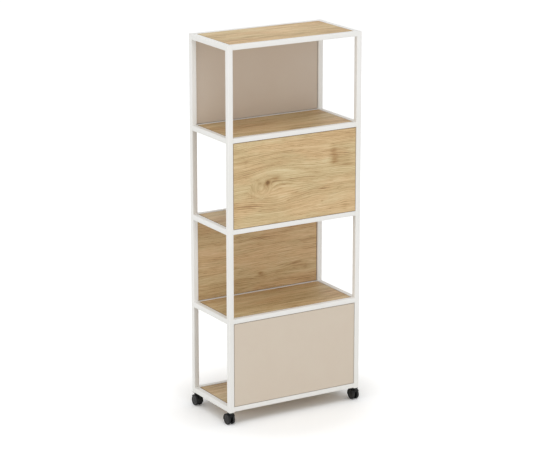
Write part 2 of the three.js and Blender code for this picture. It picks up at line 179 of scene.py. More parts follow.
SOCKET_NECK = 45 * MM
FLARE_FOOT = 46 * MM
FLARE_HEIGHT = 3 * MM
FLARE_STEPS = 6
COLLAR_RADIUS = 7.5 * MM
COLLAR_BOTTOM = 56.4 * MM
COLLAR_EASE = 0.3 * MM
FLANGE_BOTTOM = 58 * MM
PIVOT_RADIUS = 3 * MM
PIVOT_BOTTOM = 36.4 * MM
SHANK_RADIUS = 5 * MM
SHANK_TOP = 86 * MM
STEM_CHAMFER = 0.8 * MM

# Degrees past which an edge is shaded sharp
SHARP_ANGLE = 35
WELD_ANGLE = 60
SCREW_ANGLE = 30
WHEEL_ANGLE = 28

FACES = ("front", "back")
SIDES = ("left", "right")
LEVELS = (1, 2, 3, 4, 5)
CORNER_SIGNS = ((1, 1), (-1, 1), (-1, -1), (1, -1))


def linear(red, green, blue):
    """A linear colour from the screen values of 0 to 255."""
    channels = []
    for value in (red, green, blue):
        share = value / 255
        channels.append(share / 12.92 if share <= 0.04045 else ((share + 0.055) / 1.055) ** 2.4)
    return (*channels, 1.0)


# Materials


class Graph:
    """One material's nodes, made by short calls that return sockets."""

    def __init__(self, name):
        self.material = bpy.data.materials.new(name)
        self.material.use_nodes = True
        self.tree = self.material.node_tree
        self.shader = self.tree.nodes["Principled BSDF"]

    def node(self, kind, **settings):
        made = self.tree.nodes.new("ShaderNode" + kind)
        for key, value in settings.items():
            setattr(made, key, value)
        return made

    def feed(self, socket, value):
        if isinstance(value, bpy.types.NodeSocket):
            self.tree.links.new(value, socket)
        else:
            socket.default_value = value

    def math(self, operation, *values):
        made = self.node("Math", operation=operation)
        for socket, value in zip(made.inputs, values):
            self.feed(socket, value)
        return made.outputs[0]

    def add(self, *values):
        total = values[0]
        for value in values[1:]:
            total = self.math("ADD", total, value)
        return total

    def times(self, a, b):
        return self.math("MULTIPLY", a, b)

    def minus(self, a, b):
        return self.math("SUBTRACT", a, b)

    def position(self):
        made = self.node("SeparateXYZ")
        self.feed(made.inputs[0], self.node("TexCoord").outputs["Object"])
        return made.outputs[:]

    def vector(self, x, y, z):
        made = self.node("CombineXYZ")
        for socket, value in zip(made.inputs, (x, y, z)):
            self.feed(socket, value)
        return made.outputs[0]

    def noise(self, vector, scale, detail, roughness=0.5):
        """Noise from 0 to 1. scale counts its cells per metre along each axis."""
        mapping = self.node("Mapping")
        self.feed(mapping.inputs["Vector"], vector)
        mapping.inputs["Scale"].default_value = scale
        made = self.node("TexNoise")
        self.feed(made.inputs["Vector"], mapping.outputs[0])
        made.inputs["Scale"].default_value = 1.0
        made.inputs["Detail"].default_value = detail
        made.inputs["Roughness"].default_value = roughness
        return made.outputs["Fac"]

    def swing(self, value, reach):
        """A 0 to 1 value turned into one from minus half of reach to half of it."""
        return self.times(self.minus(value, 0.5), reach)

    def step(self, value, start, end):
        """Smoothly 0 before start and 1 after end."""
        made = self.node("MapRange", interpolation_type="SMOOTHSTEP")
        self.feed(made.inputs["Value"], value)
        made.inputs["From Min"].default_value = start
        made.inputs["From Max"].default_value = end
        return made.outputs[0]

    def ramp(self, value, stops):
        made = self.node("ValToRGB")
        self.feed(made.inputs[0], value)
        elements = made.color_ramp.elements
        while len(elements) < len(stops):
            elements.new(0.5)
        for element, (place, colour) in zip(elements, stops):
            element.position = place
            element.color = colour
        return made.outputs[0]

    def mix(self, share, a, b, blend="MIX"):
        made = self.node("Mix", data_type="RGBA", blend_type=blend)
        self.feed(made.inputs["Factor"], share)
        colours = [socket for socket in made.inputs if socket.type == "RGBA"]
        self.feed(colours[0], a)
        self.feed(colours[1], b)
        return [socket for socket in made.outputs if socket.type == "RGBA"][0]

    def bump(self, height, distance, strength, under=None):
        made = self.node("Bump")
        made.inputs["Strength"].default_value = strength
        made.inputs["Distance"].default_value = distance
        self.feed(made.inputs["Height"], height)
        if under is not None:
            self.feed(made.inputs["Normal"], under)
        return made.outputs[0]

    def finish(self, colour, roughness, normal, **constants):
        """Sets the shader's sockets. constants are named as they are, with _ for a space."""
        self.feed(self.shader.inputs["Base Color"], colour)
        self.feed(self.shader.inputs["Roughness"], roughness)
        self.feed(self.shader.inputs["Normal"], normal)
        for key, value in constants.items():
            self.shader.inputs[key.replace("_", " ")].default_value = value
        return self.material


def powder_coat(name, base, shade):
    """Smooth matt powder coat: a fine orange peel, slight clouding and a few rubbed spots."""
    graph = Graph(name)
    place = graph.vector(*graph.position())
    cloud = graph.noise(place, (5, 5, 5), detail=3)
    colour = graph.mix(graph.step(cloud, 0.3, 0.7), base, shade)
    peel = graph.noise(place, (620, 620, 620), detail=1.5, roughness=0.45)
    grit = graph.noise(place, (2600, 2600, 2600), detail=1)
    normal = graph.bump(peel, distance=0.06 * MM, strength=0.5)
    normal = graph.bump(grit, distance=0.01 * MM, strength=0.4, under=normal)
    rubbed = graph.noise(place, (38, 38, 38), detail=4, roughness=0.6)
    roughness = graph.add(0.40, graph.times(graph.step(rubbed, 0.35, 0.7), 0.10))
    return graph.finish(colour, roughness, normal, Specular_IOR_Level=0.45)


# Oak tones from a streak's heart to the palest wood
OAK_TONES = (
    (0.00, linear(146, 113, 76)),
    (0.25, linear(182, 151, 109)),
    (0.50, linear(206, 180, 139)),
    (0.72, linear(217, 194, 155)),
    (1.00, linear(231, 213, 180)),
)
OAK_WARMTH = (1.025, 0.970, 0.945, 1.0)
OAK_COOLNESS = (0.98, 1.01, 1.0, 1.0)
OAK_MEAN_TONE = 0.63
PLANK_SWING = 0.50
STREAK_SWING = 0.80
FINE_SWING = 0.80
LATE_SHADE = -0.23
DASH_SHADE = -0.22
KNOT_HEART = linear(114, 78, 38)
KNOT_RIM = linear(168, 126, 78)
KNOT_SHARE = 0.85
PORE_TONE = linear(128, 92, 58)
PORE_SHARE = 0.42
SEED_SHIFT = 3.1  # metres of endless wood between one seed and the next
RINGS_PER_METRE = 128.0
RING_SWAY = 6.0  # how many rings the late wood wanders by
# How far the growth lines stray from straight, at three scales
DRIFT = 32 * MM
RIPPLE = 5 * MM
CURL = 1 * MM
# Eyes, in shares of their own length and height
EYE_RAGGED = 1.1
EYE_OUTSIDE = 1.9
EYE_INSIDE = 0.5
EYE_MIDDLE = 0.5
EYE_SPREAD = 0.9
# How fast a mark's shade, heart and parting fade with the square of the distance
SHADE_FALL = -1.0
HEART_FALL = -2.0
PARTING_FALL = -0.22

# Board edges: a darker band round each face, partly the edge banding's own tone and partly painted shade
# of the gap between board and tubes, and pale pins
PIN_TONE = linear(170, 165, 155)
BEIGE_BAND_AND_SHADE_TONE = linear(150, 138, 124)
BAND_AND_SHADE_WIDTH = 2.0 * MM
BAND_AND_SHADE_FADE = 0.3 * MM
BAND_AND_SHADE_SHARE = 0.55
PIN_FADE = 0.1 * MM

# Each board's tint makes it a little lighter or darker than the decor itself; the back panel's and the
# shelves' tints are also darker as painted shade, for their place inside the case
FRONT_TINT = (1.0, 0.99, 0.935, 1.0)
BACK_TINT_AND_SHADE = (0.90, 0.86, 0.80, 1.0)
SHELF_TINT_AND_SHADE = (0.90, 0.875, 0.815, 1.0)
TOP_TINT = (0.955, 0.91, 0.805, 1.0)


def growth_line(graph, x, cross, raw, eyes):
    """Which growth line a point is on: lines drift and ripple along the board and ring each eye."""
    drift = graph.swing(graph.noise(raw, (1.6, 3.4, 1.0), detail=1), DRIFT)
    ripple = graph.swing(graph.noise(raw, (7.0, 17.0, 3.0), detail=2), RIPPLE)
    curl = graph.swing(graph.noise(raw, (36.0, 90.0, 12.0), detail=1), CURL)
    line = graph.add(cross, drift)
    for eye_x, eye_cross, length, height in eyes:
        stray = graph.swing(graph.noise(raw, (24.0, 30.0, 5.0), detail=2), EYE_RAGGED)
        bend = graph.swing(graph.noise(raw, (31.0, 26.0, 7.0), detail=2), EYE_RAGGED)
        du = graph.add(graph.times(graph.minus(x, eye_x), 1 / length), stray)
        dv = graph.add(graph.times(graph.minus(cross, eye_cross), 1 / height), bend)
        reach = graph.math("SQRT", graph.add(graph.times(du, du), graph.times(dv, dv)))
        inside = graph.step(reach, EYE_OUTSIDE, EYE_INSIDE)
        spread = graph.times(reach, EYE_SPREAD * height)
        ring = graph.add(eye_cross + EYE_MIDDLE * height, spread)
        outer = graph.times(line, graph.minus(1.0, inside))
        line = graph.add(outer, graph.times(ring, inside))
    return graph.add(line, ripple, curl)


def oak_marks(graph, x, cross, line, marks):
    """Parts the growth lines round the marks, and adds up the marks' hearts and shades."""
    hearts = 0.0
    shades = 0.0
    for mark_x, mark_cross, length, height, heart, shade, parting in marks:
        du = graph.times(graph.minus(x, mark_x), 1 / length)
        dv = graph.times(graph.minus(cross, mark_cross), 1 / height)
        square = graph.add(graph.times(du, du), graph.times(dv, dv))
        near = graph.math("EXPONENT", graph.times(square, SHADE_FALL))
        shades = graph.add(shades, graph.times(near, shade))
        if parting:
            wide = graph.math("EXPONENT", graph.times(square, PARTING_FALL))
            shift = graph.times(graph.times(dv, -parting * height), wide)
            line = graph.add(line, shift)
        if heart:
            core = graph.math("EXPONENT", graph.times(square, HEART_FALL))
            hearts = graph.add(hearts, graph.times(core, heart))
    return line, hearts, shades


def late_wood(graph, grain, line):
    """The darker part of each growth ring, clear in some places and faint in others."""
    sway = graph.noise(grain, (3.1, 9.0, 2.0), detail=2)
    turns = graph.add(graph.times(line, RINGS_PER_METRE), graph.times(sway, RING_SWAY))
    late = graph.step(graph.math("FRACT", turns), 0.30, 0.80)
    clear = graph.step(graph.noise(grain, (2.0, 22.0, 3.0), detail=1), 0.25, 0.60)
    return graph.times(late, clear)


def knots(graph, colour, raw, hearts):
    """Lays the knots' brown over the wood, with a ragged rim."""
    speck = graph.swing(graph.noise(raw, (110, 150, 60), detail=3), 1.2)
    share = graph.step(graph.add(hearts, graph.times(speck, hearts)), 0.05, 0.9)
    knot = graph.mix(graph.step(hearts, 0.30, 0.95), KNOT_RIM, KNOT_HEART)
    return graph.mix(graph.times(share, KNOT_SHARE), colour, knot)


def oak(name, across, seed, tint, edge, bold=1.0, marks=(), eyes=()):
    """Oak decor with its grain along x. across names the board's other axis, z or y."""
    graph = Graph(name)
    x, y, z = graph.position()
    cross, depth = (z, y) if across == "z" else (y, z)
    along = graph.add(x, SEED_SHIFT * seed)
    raw = graph.vector(along, cross, depth)
    line = growth_line(graph, x, cross, raw, eyes)
    line, hearts, shades = oak_marks(graph, x, cross, line, marks)
    grain = graph.vector(along, line, depth)
    plank = graph.noise(grain, (1.3, 11.0, 3.0), detail=3, roughness=0.55)
    streak = graph.noise(grain, (5.5, 105.0, 8.0), detail=3, roughness=0.60)
    fine = graph.noise(grain, (16.0, 330.0, 30.0), detail=3, roughness=0.65)
    dash = graph.step(graph.noise(grain, (24.0, 390.0, 40.0), detail=1), 0.57, 0.72)
    breakup = graph.add(0.7, graph.times(graph.noise(raw, (60.0, 140.0, 20.0), detail=2), 0.6))
    tone = graph.add(
        OAK_MEAN_TONE,
        graph.swing(plank, PLANK_SWING * bold),
        graph.swing(streak, STREAK_SWING * bold),
        graph.swing(fine, FINE_SWING),
        graph.times(late_wood(graph, grain, line), LATE_SHADE),
        graph.times(dash, DASH_SHADE),
        graph.times(graph.times(shades, breakup), -1.0),
    )
    colour = graph.ramp(tone, OAK_TONES)
    blotch = graph.noise(raw, (2.6, 9.0, 2.0), detail=4, roughness=0.6)
    warm = graph.mix(1.0, colour, OAK_WARMTH, blend="MULTIPLY")
    cool = graph.mix(1.0, colour, OAK_COOLNESS, blend="MULTIPLY")
    colour = graph.mix(graph.step(blotch, 0.38, 0.62), cool, warm)
    pore = graph.noise(grain, (75.0, 1900.0, 90.0), detail=1.5, roughness=0.4)
    pore = graph.times(graph.step(pore, 0.60, 0.70), graph.step(streak, 0.62, 0.40))
    colour = graph.mix(graph.times(pore, PORE_SHARE), colour, PORE_TONE)
    if marks:
        colour = knots(graph, colour, raw, hearts)
    # The board's tint; for the back panel and the shelves it holds painted shade as well as colour
    colour = graph.mix(1.0, colour, tint, blend="MULTIPLY")
    colour = edge_band_and_shade(graph, colour, x, cross, edge, PORE_TONE)
    roughness = graph.add(0.52, graph.times(pore, 0.12), graph.swing(streak, 0.10))
    height = graph.add(graph.times(pore, -1.0), graph.times(fine, 0.4))
    normal = graph.bump(height, distance=0.05 * MM, strength=0.6)
    return graph.finish(colour, roughness, normal, Specular_IOR_Level=0.35)


def edge_band_and_shade(graph, colour, x, cross, edge, tone):
    """Draws a darker band round a board's edges, partly the banding's own tone and partly painted shade
    of the gap round the board, and the pale pins that stand out of its ends.
    """
    half_x, half_cross, middle_cross, pins = edge
    away_x = graph.math("ABSOLUTE", x)
    away_cross = graph.math("ABSOLUTE", graph.minus(cross, middle_cross))
    past_end = graph.minus(away_x, half_x)
    past_side = graph.minus(away_cross, half_cross)
    outward = graph.math("MAXIMUM", past_end, past_side)
    # Darker towards the edges: partly the banding's tone, partly painted shade of the gap round the
    # board
    band_and_shade = graph.step(outward, -BAND_AND_SHADE_WIDTH, -BAND_AND_SHADE_WIDTH + BAND_AND_SHADE_FADE)
    colour = graph.mix(graph.times(band_and_shade, BAND_AND_SHADE_SHARE), colour, tone)
    if pins:
        pin = graph.step(away_x, half_x, half_x + PIN_FADE)
        colour = graph.mix(pin, colour, PIN_TONE)
    return colour


def laminate(name, base, shade, edge):
    """Plain melamine board with a fine pearl emboss and the faintest mottling."""
    graph = Graph(name)
    x, y, z = graph.position()
    place = graph.vector(x, y, z)
    mottle = graph.noise(place, (9, 9, 9), detail=5, roughness=0.6)
    colour = graph.mix(graph.step(mottle, 0.3, 0.7), base, shade)
    grain = graph.noise(place, (900, 900, 900), detail=2, roughness=0.6)
    colour = graph.mix(graph.times(graph.step(grain, 0.5, 0.75), 0.10), colour, shade)
    colour = edge_band_and_shade(graph, colour, x, z, edge, BEIGE_BAND_AND_SHADE_TONE)
    pearl = graph.noise(place, (1150, 1150, 1150), detail=1.5)
    normal = graph.bump(pearl, distance=0.05 * MM, strength=0.45)
    roughness = graph.add(0.48, graph.swing(mottle, 0.06))
    return graph.finish(colour, roughness, normal, Specular_IOR_Level=0.4)


def moulded(name, base, worn, rough, dust=0.0):
    """Moulded black plastic: an eroded grain, greyer where it is rubbed, with a little dust on top."""
    graph = Graph(name)
    place = graph.vector(*graph.position())
    cloud = graph.noise(place, (70, 70, 70), detail=5, roughness=0.65)
    colour = graph.mix(graph.step(cloud, 0.48, 0.78), base, worn)
    erosion = graph.noise(place, (1500, 1500, 1500), detail=2)
    normal = graph.bump(erosion, distance=0.06 * MM, strength=0.5)
    scuff = graph.noise(place, (260, 900, 260), detail=3, roughness=0.7)
    scuffed = graph.step(scuff, 0.62, 0.74)
    colour = graph.mix(graph.times(scuffed, dust), colour, worn)
    roughness = graph.add(rough, graph.swing(cloud, 0.16), graph.times(scuffed, 0.12))
    return graph.finish(colour, roughness, normal, Specular_IOR_Level=0.3)


def zinc(name, dull, bright):
    """Bright zinc plate with a faint drawn grain."""
    graph = Graph(name)
    place = graph.vector(*graph.position())
    grain = graph.noise(place, (300, 300, 2400), detail=3)
    colour = graph.mix(grain, dull, bright)
    roughness = graph.add(0.26, graph.times(grain, 0.18))
    normal = graph.bump(grain, distance=0.02 * MM, strength=0.4)
    return graph.finish(colour, roughness, normal, Metallic=1.0)


# Places where the grain closes into rings: x, cross, length and height
FRONT_EYES = ((-0.181, 1.096, 0.034, 0.030),)
# The wood's marks: x, cross, length, height, heart, shade and parting of the grain round them
FRONT_MARKS = (
    (-0.146, 1.121, 0.022, 0.020, 1.0, 0.20, 0.50),
    (-0.104, 1.135, 0.036, 0.015, 0.42, 0.34, 0.0),
    (0.000, 1.141, 0.110, 0.003, 0.0, 0.14, 0.0),
    (0.010, 1.124, 0.120, 0.004, 0.0, 0.20, 0.0),
    (-0.090, 1.090, 0.060, 0.045, 0.0, 0.0, 0.55),
    (-0.181, 1.100, 0.009, 0.009, 0.0, -0.22, 0.0),
    (-0.200, 1.138, 0.013, 0.006, 0.0, 0.20, 0.30),
    (-0.187, 1.123, 0.010, 0.006, 0.0, 0.18, 0.30),
    (-0.230, 1.086, 0.006, 0.032, 0.0, 0.14, 0.0),
    (-0.215, 1.074, 0.005, 0.024, 0.0, 0.10, 0.0),
    (-0.112, 1.088, 0.014, 0.010, 0.0, -0.14, 0.0),
    (-0.070, 1.043, 0.045, 0.016, 0.0, -0.18, 0.0),
    (-0.116, 1.174, 0.050, 0.012, 0.0, -0.10, 0.0),
    (-0.038, 1.025, 0.010, 0.006, 0.35, 0.16, 0.40),
    (-0.236, 1.021, 0.036, 0.005, 0.08, 0.20, 0.10),
    (0.002, 1.055, 0.030, 0.006, 0.0, 0.16, 0.10),
    (0.146, 1.060, 0.024, 0.008, 0.0, 0.16, 0.30),
    (0.215, 1.050, 0.030, 0.008, 0.0, 0.11, 0.30),
    (0.142, 0.998, 0.006, 0.005, 0.50, 0.18, 0.40),
    (0.267, 0.960, 0.022, 0.030, 0.0, 0.14, 0.40),
    (0.204, 1.228, 0.022, 0.032, 0.34, 0.18, 0.0),
    (0.212, 1.184, 0.028, 0.019, 0.40, 0.26, 0.0),
    (0.208, 1.206, 0.024, 0.020, 0.20, 0.08, 0.0),
    (0.206, 1.172, 0.030, 0.006, 0.20, 0.26, 0.0),
    (0.262, 1.170, 0.045, 0.004, 0.0, 0.18, 0.0),
    (0.268, 1.155, 0.040, 0.004, 0.0, 0.14, 0.0),
    (0.158, 1.190, 0.022, 0.036, 0.0, -0.14, 0.0),
    (0.268, 1.180, 0.045, 0.045, 0.0, 0.20, 0.0),
    (-0.270, 1.235, 0.045, 0.020, 0.0, 0.16, 0.0),
    (0.030, 1.187, 0.120, 0.022, 0.0, -0.10, 0.0),
    (-0.190, 1.105, 0.095, 0.022, 0.0, 0.12, 0.0),
    (0.220, 1.080, 0.100, 0.036, 0.0, -0.10, 0.0),
    (-0.280, 1.060, 0.030, 0.020, 0.0, -0.10, 0.0),
    (0.000, 1.018, 0.150, 0.018, 0.0, -0.06, 0.0),
)
BACK_MARKS = (
    (0.016, 0.586, 0.026, 0.015, 0.60, 0.20, 0.75),
    (0.200, 0.603, 0.055, 0.018, 0.15, 0.22, 0.45),
    (0.262, 0.588, 0.020, 0.014, 0.20, 0.20, 0.40),
    (0.050, 0.625, 0.200, 0.004, 0.0, -0.14, 0.0),
    (0.050, 0.615, 0.200, 0.004, 0.0, 0.12, 0.0),
    (-0.230, 0.694, 0.060, 0.004, 0.0, 0.28, 0.0),
    (-0.010, 0.762, 0.070, 0.005, 0.0, 0.20, 0.20),
    (0.190, 0.790, 0.050, 0.005, 0.0, 0.20, 0.20),
)
SHELF_MARKS = (
    (0.021, -0.128, 0.030, 0.008, 0.50, 0.26, 0.60),
    (0.099, 0.134, 0.030, 0.008, 0.25, 0.18, 0.50),
    (-0.200, 0.040, 0.030, 0.014, 0.25, 0.12, 0.80),
    (0.050, 0.085, 0.080, 0.006, 0.0, 0.18, 0.10),
    (-0.060, -0.060, 0.090, 0.005, 0.0, 0.14, 0.10),
)


def board_edge(node, across, pins=False):
    """Half width, half height and middle of a board's face, and whether pins stand out of its ends."""
    low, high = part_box(node)
    index = 2 if across == "z" else 1
    half_cross = (high[index] - low[index]) / 2
    middle = (high[index] + low[index]) / 2
    half_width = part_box("rail_front_1")[1].x - PANEL_GAP if pins else high.x
    return half_width, half_cross, middle, pins


def panel_edge(node):
    return board_edge(node, "z", pins=True)


WHITE = powder_coat("white_powder_coat", linear(240, 239, 236), linear(237, 236, 232))
STEEL = zinc("zinc_steel", linear(176, 178, 182), linear(208, 209, 210))
NYLON = moulded("black_nylon", linear(20, 20, 21), linear(36, 36, 37), rough=0.45)
TYRE = moulded("dark_tyre", linear(25, 25, 26), linear(52, 51, 50), rough=0.60, dust=0.5)

BEIGE_FRONT = (linear(214, 201, 184), linear(213, 199, 182))
# The back panel is the same beige board as the front panel; its darker colours are painted shade, for
# its place at the back of the case
BEIGE_BACK_SHADED = (linear(203, 189, 173), linear(202, 187, 171))
PANEL_FINISHES = {
    "panel_front_bay_1": laminate("beige_board_front", *BEIGE_FRONT, panel_edge("panel_front_bay_1")),
    "panel_back_bay_2": oak(
        "oak_back",
        "z",
        seed=2.3,
        tint=BACK_TINT_AND_SHADE,
        edge=panel_edge("panel_back_bay_2"),
        bold=1.2,
        marks=BACK_MARKS,
    ),
    "panel_front_bay_3": oak(
        "oak_front",
        "z",
        seed=1.1,
        tint=FRONT_TINT,
        edge=panel_edge("panel_front_bay_3"),
        marks=FRONT_MARKS,
        eyes=FRONT_EYES,
    ),
    "panel_back_bay_4": laminate("beige_board_back_shaded", *BEIGE_BACK_SHADED, panel_edge("panel_back_bay_4")),
}
SHELF_OAK = oak(
    "oak_shelf",
    "y",
    seed=4.7,
    tint=SHELF_TINT_AND_SHADE,
    edge=board_edge("shelf_1", "y"),
    bold=1.8,
    marks=SHELF_MARKS,
)
TOP_OAK = oak("oak_top", "y", seed=6.4, tint=TOP_TINT, edge=board_edge("top_board", "y"), bold=2.4)


# Mesh building


def loose_object(name, bm):
    """Turns a bmesh into an object of the scene."""
    bmesh.ops.recalc_face_normals(bm, faces=bm.faces)
    mesh = bpy.data.meshes.new(name)
    bm.to_mesh(mesh)
    bm.free()
    made = bpy.data.objects.new(name, mesh)
    bpy.context.scene.collection.objects.link(made)
    return made


def shade_smooth(mesh, angle):
    """Shades a mesh smooth, with edges sharper than an angle in degrees left sharp."""
    mesh.polygons.foreach_set("use_smooth", [True] * len(mesh.polygons))
    mesh.set_sharp_from_angle(angle=math.radians(angle))


def finish_mesh(name, bm, materials, body, angle=SHARP_ANGLE):
    """Turns a bmesh into a named piece that rides on a body."""
    piece = loose_object(name, bm)
    for material in materials:
        piece.data.materials.append(material)
    shade_smooth(piece.data, angle)
    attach(piece, body)
    return piece


def quarter_turn(steps):
    """Sine and cosine of each angle from 0 to 90 degrees."""
    angles = [math.pi / 2 * i / steps for i in range(steps + 1)]
    return [(math.sin(angle), math.cos(angle)) for angle in angles]


def loft(bm, rings, closed=False):
    """Skins a row of point rings with the same number of points each. Both ends are capped,
    or, if closed, the last ring is joined to the first."""
    made = [[bm.verts.new(point) for point in ring] for ring in rings]
    pairs = list(zip(made, made[1:]))
    if closed:
        pairs.append((made[-1], made[0]))
    for first, second in pairs:
        for i in range(len(first)):
            j = (i + 1) % len(first)
            bm.faces.new((first[i], first[j], second[j], second[i]))
    if not closed:
        bm.faces.new(made[0])
        bm.faces.new(made[-1])


def lathe(bm, profile, steps, place, materials=None):
    """Turns a profile of (radius, height) round an axis. place maps (x, y, height) to a point,
    and materials has the index of the stretch after each point."""
    rings = []
    for radius, height in profile:
        if radius == 0:
            rings.append([bm.verts.new(place(0, 0, height))] * steps)
            continue
        ring = []
        for i in range(steps):
            angle = 2 * math.pi * i / steps
            point = place(radius * math.cos(angle), radius * math.sin(angle), height)
            ring.append(bm.verts.new(point))
        rings.append(ring)
    for index, (first, second) in enumerate(zip(rings, rings[1:])):
        for i in range(steps):
            j = (i + 1) % steps
            corners = dict.fromkeys((first[i], first[j], second[j], second[i]))
            face = bm.faces.new(list(corners))
            if materials:
                face.material_index = materials[index]


def rounded_section(width, height, radius, steps):
    """Points round a rectangle with rounded corners, centred."""
    points = []
    for quarter, (sign_x, sign_y) in enumerate(CORNER_SIGNS):
        for i in range(steps + 1):
            angle = math.pi / 2 * (quarter + i / steps)
            x = sign_x * (width / 2 - radius) + radius * math.cos(angle)
            y = sign_y * (height / 2 - radius) + radius * math.sin(angle)
            points.append((x, y))
    return points


def tube(bm, low, high, axis, top_ease=0.0):
    """A square tube between two corners of its box, along an axis."""
    others = [i for i in range(3) if i != axis]
    size = [high[i] - low[i] for i in range(3)]
    middle = [(high[i] + low[i]) / 2 for i in range(3)]

    def ring(height, inset):
        width, depth = (size[i] - 2 * inset for i in others)
        radius = max(TUBE_CORNER - inset, TUBE_LEAST_CORNER)
        points = []
        for u, v in rounded_section(width, depth, radius, TUBE_CORNER_STEPS):
            point = [0.0, 0.0, 0.0]
            point[axis] = height
            point[others[0]] = middle[others[0]] + u
            point[others[1]] = middle[others[1]] + v
            points.append(point)
        return points

    rings = [ring(low[axis], 0.0)]
    if top_ease:
        for sine, cosine in quarter_turn(POST_TOP_STEPS):
            rings.append(ring(high[axis] - top_ease * (1 - sine), top_ease * (1 - cosine)))
    else:
        rings.append(ring(high[axis], 0.0))
    loft(bm, rings)


# Frame


def finish_tube(node, bm):
    piece = finish_mesh(f"{node}_tube", bm, [WHITE], "root")
    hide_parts(node)


def make_post(node):
    low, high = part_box(node)
    bm = bmesh.new()
    tube(bm, low, high, 2, top_ease=POST_TOP_EASE)
    finish_tube(node, bm)


def make_cross_rail(node):
    low, high = (Vector(corner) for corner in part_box(node))
    low.x -= RAIL_BITE
    high.x += RAIL_BITE
    bm = bmesh.new()
    tube(bm, low, high, 0)
    finish_tube(node, bm)


def make_side_rail(node):
    """A side rail with its two shelf tabs. Returns the places of the tabs' screws."""
    low, high = (Vector(corner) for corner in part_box(node))
    sign = 1 if low.x < 0 else -1
    outer = low.x if sign > 0 else high.x
    inner = outer + sign * TUBE_SIZE
    low.x, high.x = min(outer, inner), max(outer, inner)
    seat = high.z - TAB_SEAT
    tab_places = (low.y + TAB_INSET, high.y - TAB_INSET)
    low.y -= RAIL_BITE
    high.y += RAIL_BITE
    bm = bmesh.new()
    tube(bm, low, high, 1)
    screws = []
    for middle in tab_places:
        add_tab(bm, inner, middle, seat, sign)
        screws.append(Vector((inner + sign * TAB_HOLE_PLACE, middle, seat - TAB_THICKNESS)))
    finish_tube(node, bm)
    return screws


def tab_outline():
    """A tab's outline with points all along it, x out of the rail's inner face."""
    half = TAB_WIDTH / 2
    corners = [(-TAB_ROOT, half), (-TAB_ROOT, -half)]
    for sign, start in ((-1, -math.pi / 2), (1, 0.0)):
        for i in range(TAB_CORNER_STEPS + 1):
            angle = start + math.pi / 2 * i / TAB_CORNER_STEPS
            x = TAB_REACH - TAB_CORNER + TAB_CORNER * math.cos(angle)
            corners.append((x, sign * (half - TAB_CORNER) + TAB_CORNER * math.sin(angle)))
    outline = []
    for (x0, y0), (x1, y1) in zip(corners, corners[1:] + corners[:1]):
        parts = max(1, round(math.hypot(x1 - x0, y1 - y0) / TAB_POINT_PITCH))
        for i in range(parts):
            outline.append((x0 + (x1 - x0) * i / parts, y0 + (y1 - y0) * i / parts))
    return outline


def drawn_in(outline, inset):
    """A tab's outline made smaller by an inset on each side."""
    middle = TAB_REACH / 2
    share_x = 1 - inset / (TAB_REACH / 2)
    share_y = 1 - inset / (TAB_WIDTH / 2)
    return [(middle + (x - middle) * share_x, y * share_y) for x, y in outline]


def tab_hole(outline):
    """A tab's round hole, with a point for each point of the outline."""
    hole = []
    for x, y in outline:
        angle = math.atan2(y, x - TAB_HOLE_PLACE)
        reach = TAB_HOLE_PLACE + TAB_HOLE_RADIUS * math.cos(angle)
        hole.append((reach, TAB_HOLE_RADIUS * math.sin(angle)))
    return hole


def add_tab(bm, inner, middle, seat, sign):
    """A rounded plate with a screw hole, eased along its edge."""
    outline = tab_outline()
    eased = drawn_in(outline, TAB_EASE)
    hole = tab_hole(outline)
    bottom = seat - TAB_THICKNESS
    layers = (
        (hole, seat),
        (eased, seat),
        (outline, seat - TAB_EASE),
        (outline, bottom + TAB_EASE),
        (eased, bottom),
        (hole, bottom),
    )
    rings = []
    for points, z in layers:
        rings.append([(inner + sign * x, middle + y, z) for x, y in points])
    loft(bm, rings, closed=True)


def bead(bm, start, end, out_a, out_b):
    """A rippled weld bead laid in the corner between two faces, whose outward normals are given."""
    span = end - start
    rings = []
    for i in range(BEAD_STEPS + 1):
        share = i / BEAD_STEPS
        ripple = 1 + BEAD_RIPPLE * math.sin(2 * math.pi * share * span.length / BEAD_PITCH)
        taper = min(1.0, math.sqrt(min(share, 1 - share) * BEAD_TAPER) + BEAD_END_SHARE)
        radius = BEAD_RADIUS * ripple * taper
        middle = start + span * share
        ring = []
        for k in range(BEAD_SIDES):
            angle = 2 * math.pi * k / BEAD_SIDES
            outward = out_a * math.cos(angle) + out_b * math.sin(angle)
            ring.append(middle + outward * radius)
        rings.append(ring)
    loft(bm, rings)


def weld_heights(low, high, level):
    """Heights and outward directions of a rail's welds: under it and, below the top level, over it."""
    heights = [(low.z, Vector((0, 0, -1)))]
    if level != LEVELS[-1]:
        heights.append((high.z, Vector((0, 0, 1))))
    return heights


def end_beads(bm, heights, near, far, away):
    """Beads across one end of a rail, at each of its heights. near and far are (x, y)."""
    for z, normal in heights:
        bead(bm, Vector((*near, z)), Vector((*far, z)), away, normal)


def make_welds():
    """Beads above and below each rail's ends, in the corners that stay unground."""
    bm = bmesh.new()
    for level in LEVELS:
        for face in FACES:
            low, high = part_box(f"rail_{face}_{level}")
            heights = weld_heights(low, high, level)
            front, back = low.y + BEAD_INSET, high.y - BEAD_INSET
            end_beads(bm, heights, (low.x, front), (low.x, back), Vector((1, 0, 0)))
            end_beads(bm, heights, (high.x, front), (high.x, back), Vector((-1, 0, 0)))
        for side in SIDES:
            low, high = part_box(f"rail_{side}_{level}")
            heights = weld_heights(low, high, level)
            outer = low.x if side == "left" else high.x
            inner = outer + (TUBE_SIZE if side == "left" else -TUBE_SIZE)
            left = min(outer, inner) + BEAD_INSET
            right = max(outer, inner) - BEAD_INSET
            end_beads(bm, heights, (left, low.y), (right, low.y), Vector((0, 1, 0)))
            end_beads(bm, heights, (left, high.y), (right, high.y), Vector((0, -1, 0)))
    piece = finish_mesh("frame_welds", bm, [WHITE], "root", angle=WELD_ANGLE)


# Shelf screws


